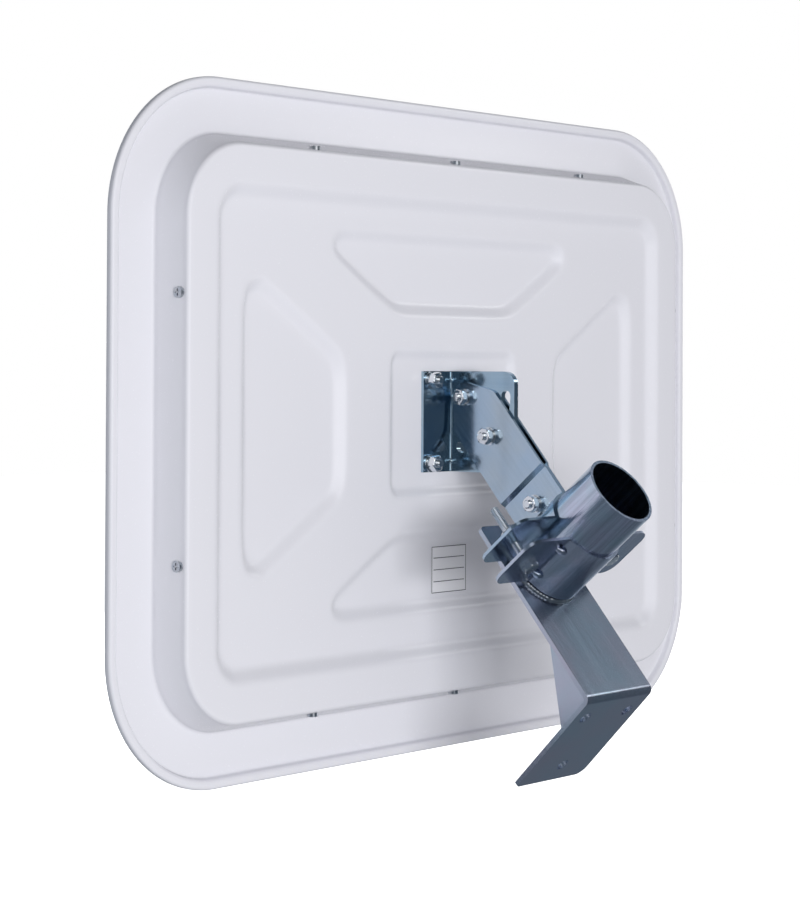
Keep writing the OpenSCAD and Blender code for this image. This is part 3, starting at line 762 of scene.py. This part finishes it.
# The flats of a tightened nut stop anywhere. These directions are the ones seen on the object.
arm_facing, other_facing = Vector((-0.3, -1, 0.33)), Vector((-1, -0.2, 0.3))
sets = {
    "arm": ("swivel_arm", arm_places, arm_facing),
    "clamp": ("swivel_arm", clamp_places, other_facing),
    "bracket": ("panel", bracket_places, other_facing),
}
for kind, (body, places, facing) in sets.items():
    bolts, nuts, springs = [], [], []
    for number, (base, axis, grip, stand) in enumerate(places):
        head = [(-grip - z, r) for z, r in hex_rows(0, HEAD_HIGH, 0.0, False)]
        bolts.append(turned(base, axis, head, ROUND, facing))
        bolts.append(turned(base, axis, thread_rows(-grip, stand), THREAD_ROUND))
        nut = hex_rows(NUT_LOW, NUT_HIGH, NUT_BORE)
        nuts.append(turned(base, axis, nut, ROUND, facing))
        # Each washer's split points another way.
        split = 0.5 + 2.1 * number
        edge = [(SPRING_IN, SPRING_LOW), (SPRING_OUT, SPRING_LOW)]
        edge += [(SPRING_OUT, SPRING_HIGH), (SPRING_IN, SPRING_HIGH), (SPRING_IN, SPRING_LOW)]
        washer = [(0, spring_radius(r, z, split)) for r, z in edge]
        points, faces = turned(base, axis, washer)
        gap = int(split / (2 * math.pi) * ROUND) % ROUND
        open_cells = (gap, (gap + 1) % ROUND)
        springs.append((points, [f for f in faces if f[0] % ROUND not in open_cells]))
    kinds = (
        ("bolts", bolts, bolt_zinc, "bolt_zinc"),
        ("nuts", nuts, bolt_zinc, "bolt_zinc"),
        ("spring_washers", springs, washer_zinc, "washer_zinc"),
    )
    for what, parts, finish, slot in kinds:
        points, faces = join(parts)
        name, nodes = f"threaded_{kind}_{what}", [f"{kind}_{what}"]
        add_piece(name, points, faces, finish, body, nodes, sharp=32)
    print(kind, "fasteners at", len(places), "places")

# %% [markdown]
# ## Pressed ribs and the weld
# The bends of the tilt bracket and of the clamp ears have a small inner radius, which draws a bright
# line, and are stiffened by small pressed ribs: a rounded wedge that bridges the inner corner. The
# mast tube is welded to the leg, and a weld is a row of overlapping drops, so its ring swells and
# shrinks every few millimetres.


# %% Ribs across the bends
# How high a rib's round back stands, in millimetres.
RIB_HIGH = 1.5
# The tilt bracket's bend: half its length. The ear's bend: to each side, down the arm, half its length.
BRACKET_HALF = 33.6
BEND_OUT, BEND_AT, BEND_HALF = 25.4, 136.5, 21.7
# Where the ribs stand along the two bends, from the middle.
BRACKET_RIBS, EAR_RIBS = (-27, 28), (-13, 12)


# A rounded wedge across an inner corner, highest in its middle.
def rib(corner, leg_a, leg_b, along, reach, width):
    rings = []
    for i in range(9):
        f = i / 8
        path = leg_a * (1 - f) + leg_b * f
        swell = math.sin(math.pi * f)
        middle = corner + path * (reach * MM) + (leg_a + leg_b) * (0.10 * reach * swell * MM)
        ring = []
        for k in range(13):
            t = math.pi * k / 12
            side_step = along * (width / 2 * math.cos(t) * (0.35 + 0.65 * swell) * MM)
            lift = (leg_a + leg_b).normalized() * (RIB_HIGH * math.sin(t) * (0.2 + 0.8 * swell) * MM)
            ring.append(middle + side_step + lift - (leg_a + leg_b) * (0.12 * reach * MM))
        rings.append(ring)
    return loft(rings, closed_ring=False)


# A hollow strip along an inner corner, from one end of the bend to the other.
def bend_fillet(start, end, leg_a, leg_b, reach, steps=10):
    rings = []
    for corner in (start, end):
        ring = []
        for i in range(steps + 1):
            f = i / steps
            ring.append(corner + leg_a * ((1 - f) ** 2 * reach * MM) + leg_b * (f**2 * reach * MM))
        rings.append(ring)
    return loft(rings, closed_ring=False)


for name, sx in (("left", -1), ("right", 1)):
    out = across * sx
    corners = [on_panel(sx * SHEET, BRACKET_AT + y, FLANGE_FACE) for y in BRACKET_RIBS]
    parts = [rib(corner, out_back, out, upward, reach=3.8, width=3.8) for corner in corners]
    low_end, high_end = (
        on_panel(sx * SHEET, BRACKET_AT + y, FLANGE_FACE) for y in (-BRACKET_HALF, BRACKET_HALF)
    )
    parts.append(bend_fillet(low_end, high_end, out_back, out, reach=1.8))
    points, faces = join(parts)
    add_piece(f"bracket_bend_{name}", points, faces, bracket_zinc, "panel")
parts = []
for sx in (-1, 1):
    out = across * sx
    # The band leaves the ear about 20 degrees off the arm's own direction.
    round_band = (arm_down * 0.9365 - out * 0.3506).normalized()
    for w in EAR_RIBS:
        corner = on_arm(sx * BEND_OUT, BEND_AT, w)
        parts.append(rib(corner, round_band, out, mast_up, reach=5.2, width=4.4))
    low_end, high_end = (on_arm(sx * BEND_OUT, BEND_AT, w) for w in (-BEND_HALF, BEND_HALF))
    parts.append(bend_fillet(low_end, high_end, round_band, out, reach=3.0))
points, faces = join(parts)
add_piece("clamp_bends", points, faces, clamp_zinc, "swivel_arm")
print("ribs and fillets in the bends of both brackets and the clamp")

# %% Weld round the foot of the mast
# Foot of the mast tube: down the arm and along the tube. The weld starts just inside the tube's face.
MAST_AT, MAST_LOW, WELD_START, WELD_ROUND = 127, -25.5, 24.9, 240
mast_foot = on_arm(0, MAST_AT, MAST_LOW)
rings = []
for i in range(WELD_ROUND):
    t = 2 * math.pi * i / WELD_ROUND
    out = across * math.cos(t) + arm_down * math.sin(t)
    wander = 2.0 * math.sin(2 * t + 1) + 1.1 * math.sin(5 * t) + 0.7 * math.sin(11 * t)
    drop = abs(math.sin(t * 23 + wander)) * (0.55 + 0.45 * math.sin(5 * t + 2))
    reach = 2.5 + 0.5 * drop + 0.3 * math.sin(7 * t + 1)
    ring = []
    for k in range(9):
        f = k / 8
        bulge = math.sin(math.pi * f) * (0.45 + 0.35 * drop)
        r = WELD_START + reach * (1 - f) + bulge
        ring.append(mast_foot + out * (r * MM) + mast_up * ((reach * 0.9 * f + bulge - 0.05) * MM))
    rings.append(ring)
points, faces = loft(rings + [rings[0]], closed_ring=False)
add_piece(
    "mast_weld", points, faces, weld_metal, "wall_bracket", ["weld_bead"], sharp=80
)
print("weld points:", len(points))

# %% [markdown]
# ## Blank label
# The label lies on the floor of the lower trapezoid. It is draped on the same height field as the
# shell, a little above it. It carries only a thin frame and three ruled lines. A shrinkwrap modifier
# could lay it there too, but the field is at hand and exact.

# %% Drape the label
# Middle of the label on the panel, half its width and height, and its lift, in millimetres.
lx, ly, hx, hy, label_lift = 0.0, -96.5, 18.5, 16.0, 0.2
points, faces = draped(lx - hx, ly - hy, lx + hx, ly + hy, label_lift, nx=12, ny=12)
add_piece("paper_label", points, faces, label_paper, "panel", ["blank_label"])
# The frame's margin, the ruled lines' inset and spacing, half a line's width, and the ink's lift.
margin, rule_inset, rule_gap, half_line, ink_lift = 0.5, 2, 8.0, 0.26, 0.26
fx, fy = hx - margin, hy - margin
lines = [(-fx, fy, fx, fy), (-fx, -fy, fx, -fy), (-fx, -fy, -fx, fy), (fx, -fy, fx, fy)]
lines += [(-fx + rule_inset, y, fx - rule_inset, y) for y in (-rule_gap, 0.0, rule_gap)]
parts = []
for a, b, c, d in lines:
    x0, y0 = lx + a - half_line, ly + b - half_line
    x1, y1 = lx + c + half_line, ly + d + half_line
    steps_x, steps_y = (10 if c > a else 1), (10 if d > b else 1)
    parts.append(draped(x0, y0, x1, y1, ink_lift, steps_x, steps_y))
points, faces = join(parts)
add_piece("label_lines", points, faces, label_ink, "panel")
print("label draped with", len(lines), "lines")

# %% [markdown]
# ## Studio
# A pale floor catches the shadow. It lies 0.15 m under the foot, because the corner of the panel swings
# down that far when the arm turns. For the camera it glows up to white with distance, so that no
# horizon shows. A broad card faces the panel's back, somewhat to the left and level with its middle,
# and lights the white plastic evenly. A second one on the far side lights the front cover. Two small
# cards are seen only in reflections, where they draw the bright facets of the nuts and the light edges
# of the sheet.

# %% Floor
low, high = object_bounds()
floor_mesh = bpy.data.meshes.new("studio_floor")
swing_room, half_floor = 0.15, 6
floor_z = low.z - swing_room
floor_corners = [(-1, -1), (1, -1), (1, 1), (-1, 1)]
floor_points = [(half_floor * x, half_floor * y, floor_z) for x, y in floor_corners]
floor_mesh.from_pydata(floor_points, [], [(0, 1, 2, 3)])
floor = bpy.data.objects.new("studio_floor", floor_mesh)
bpy.context.collection.objects.link(floor)
floor_paper = matt_finish("matt_studio_paper", "#EFEFEF", "#EBEBEB", 40, 0.9)
tree = floor_paper.node_tree
paper = next(n for n in tree.nodes if n.bl_idname == "ShaderNodeBsdfPrincipled")
path = put(tree, "ShaderNodeLightPath")
place = put(tree, "ShaderNodeTexCoord").outputs["Object"]
far = put(tree, "ShaderNodeVectorMath", {"operation": "LENGTH"}, {0: place})
fade = put(
    tree,
    "ShaderNodeMapRange",
    inputs={"Value": far.outputs["Value"], "From Min": 0.3, "From Max": 1.3, "To Min": 0.72},
)
level = put(
    tree,
    "ShaderNodeMath",
    {"operation": "MULTIPLY"},
    {0: path.outputs["Is Camera Ray"], 1: fade.outputs["Result"]},
)
glow = put(tree, "ShaderNodeEmission", inputs={"Color": (1, 1, 1, 1), "Strength": level.outputs[0]})
both = put(tree, "ShaderNodeAddShader", inputs={0: paper.outputs[0], 1: glow.outputs[0]})
end = next(n for n in tree.nodes if n.bl_idname == "ShaderNodeOutputMaterial")
tree.links.new(both.outputs[0], end.inputs["Surface"])
floor_mesh.materials.append(floor_paper)
floor.visible_glossy = False
floor.visible_diffuse = False
print("floor at", round(floor_z, 3), "m")


# %% Lamps
def soft_panel(name, spot, goal, wide, tall, watts):
    data = bpy.data.lights.new(name, "AREA")
    data.shape = "RECTANGLE"
    data.size, data.size_y = wide, tall
    data.energy = watts
    lamp = bpy.data.objects.new(name, data)
    bpy.context.collection.objects.link(lamp)
    lamp.location = spot
    lamp.rotation_euler = (Vector(goal) - Vector(spot)).to_track_quat("-Z", "Y").to_euler()
    return lamp


middle = (low + high) / 2
low_card = soft_panel("low_card", (-1.12, -2.36, 0.2), middle, wide=2.2, tall=0.4, watts=50)
low_card.visible_glossy = False
far_fill = soft_panel("far_fill", (1.5, 2.0, 0.5), middle, wide=1.6, tall=0.8, watts=45)
far_fill.visible_glossy = False
high_panel = soft_panel("high_panel", (1.25, -0.8, 0.86), middle, wide=0.35, tall=0.35, watts=1.2)
high_panel.visible_diffuse = False
glint_spot = middle + (back * 0.87 + up * 0.5) * 2.2
glint = soft_panel("glint_card", glint_spot, middle, wide=0.25, tall=0.25, watts=1.2)
glint.visible_diffuse = False
print("lamps:", ", ".join(lamp.name for lamp in (low_card, far_fill, high_panel, glint)))

# %% [markdown]
# An even white world would light the plastic, but polished metal looks like pale paint in it. So the
# surround is a room. For the plastic it is brighter on the right, bluer on the left, and dark
# overhead. Polished zinc shows the room itself, so a second level answers only to glossy rays: the
# white backdrop behind the object, two bright patches on the camera's side and a dim room elsewhere.
# The camera itself sees plain white.

# %% Surround
surround = bpy.data.worlds.new("white_surround")
bpy.context.scene.world = surround
surround.use_nodes = True
tree = surround.node_tree
tree.nodes.clear()
way = put(tree, "ShaderNodeTexCoord").outputs["Generated"]


# A level that goes from first to last as the ray turns towards a direction.
def along(direction, start, end, first, last):
    dot = put(tree, "ShaderNodeVectorMath", {"operation": "DOT_PRODUCT"}, {0: way, 1: direction})
    ramp = put(
        tree,
        "ShaderNodeMapRange",
        {"interpolation_type": "SMOOTHSTEP"},
        {
            "Value": dot.outputs["Value"],
            "From Min": start,
            "From Max": end,
            "To Min": first,
            "To Max": last,
        },
    )
    return ramp.outputs["Result"]


times, most, minus = {"operation": "MULTIPLY"}, {"operation": "MAXIMUM"}, {"operation": "SUBTRACT"}
# The room that lights the plastic: dark overhead, dim underfoot, brighter to the right.
overhead = along(upward, -0.1, 0.6, 1.0, 0.12)
underfoot = along(upward, -0.9, -0.2, 0.4, 1.0)
sideways = along(right, -0.9, 0.9, 0.58, 0.85)
shade = put(tree, "ShaderNodeMath", times, {0: overhead, 1: underfoot})
room = put(tree, "ShaderNodeMath", times, {0: sideways, 1: shade.outputs[0]})
# The room that the metal shows: a dim wall, then whichever of the brighter parts a ray meets.
shown = along(right, -0.9, 0.4, 0.28, 0.15)
floor_glow = along(upward, -0.85, -0.6, 0.22, 0.0)
front_patch = along((back * 0.85 + up * 0.53).normalized(), 0.88, 0.97, 0.0, 1.3)
side_patch = along(Vector((-0.2, -0.95, 0.22)).normalized(), 0.86, 0.96, 0.0, 1.6)
backdrop = along(-back, 0.1, 0.85, 0.0, 0.95)
backdrop_foot = along(upward, -0.55, -0.05, 0.3, 1.0)
behind = put(tree, "ShaderNodeMath", times, {0: backdrop, 1: backdrop_foot})
for part in (floor_glow, front_patch, side_patch, behind.outputs[0]):
    shown = put(tree, "ShaderNodeMath", most, {0: shown, 1: part}).outputs[0]
ceiling = along(upward, 0.0, 1.0, 1.0, 0.6)
shown = put(tree, "ShaderNodeMath", times, {0: shown, 1: ceiling})
path = put(tree, "ShaderNodeLightPath")
glossy = path.outputs["Is Glossy Ray"]
levels = {0: glossy, 2: room.outputs[0], 3: shown.outputs[0]}
level = put(tree, "ShaderNodeMix", {"data_type": "FLOAT"}, levels).outputs[0]
# Bright parts are white and dim ones blue. For the plastic, the right side is white at any level.
soft_ray = put(tree, "ShaderNodeMath", minus, {0: 1, 1: glossy})
white_side = along(right, -0.9, 0.2, 0.3, 1.0)
soft_white = put(tree, "ShaderNodeMath", times, {0: soft_ray.outputs[0], 1: white_side})
plain = put(tree, "ShaderNodeMath", most, {0: level, 1: soft_white.outputs[0]})
tints = {0: plain.outputs[0], 6: linear("#BCD4EC"), 7: linear("#F2F2F4")}
hue = put(tree, "ShaderNodeMix", {"data_type": "RGBA"}, tints)
even = put(tree, "ShaderNodeBackground", inputs={"Color": hue.outputs[2], "Strength": level})
white = put(tree, "ShaderNodeBackground", inputs={"Color": (1, 1, 1, 1), "Strength": 1.0})
seen = put(
    tree,
    "ShaderNodeMixShader",
    inputs={0: path.outputs["Is Camera Ray"], 1: even.outputs[0], 2: white.outputs[0]},
)
put(tree, "ShaderNodeOutputWorld", inputs={"Surface": seen.outputs[0]})
print("studio ready")
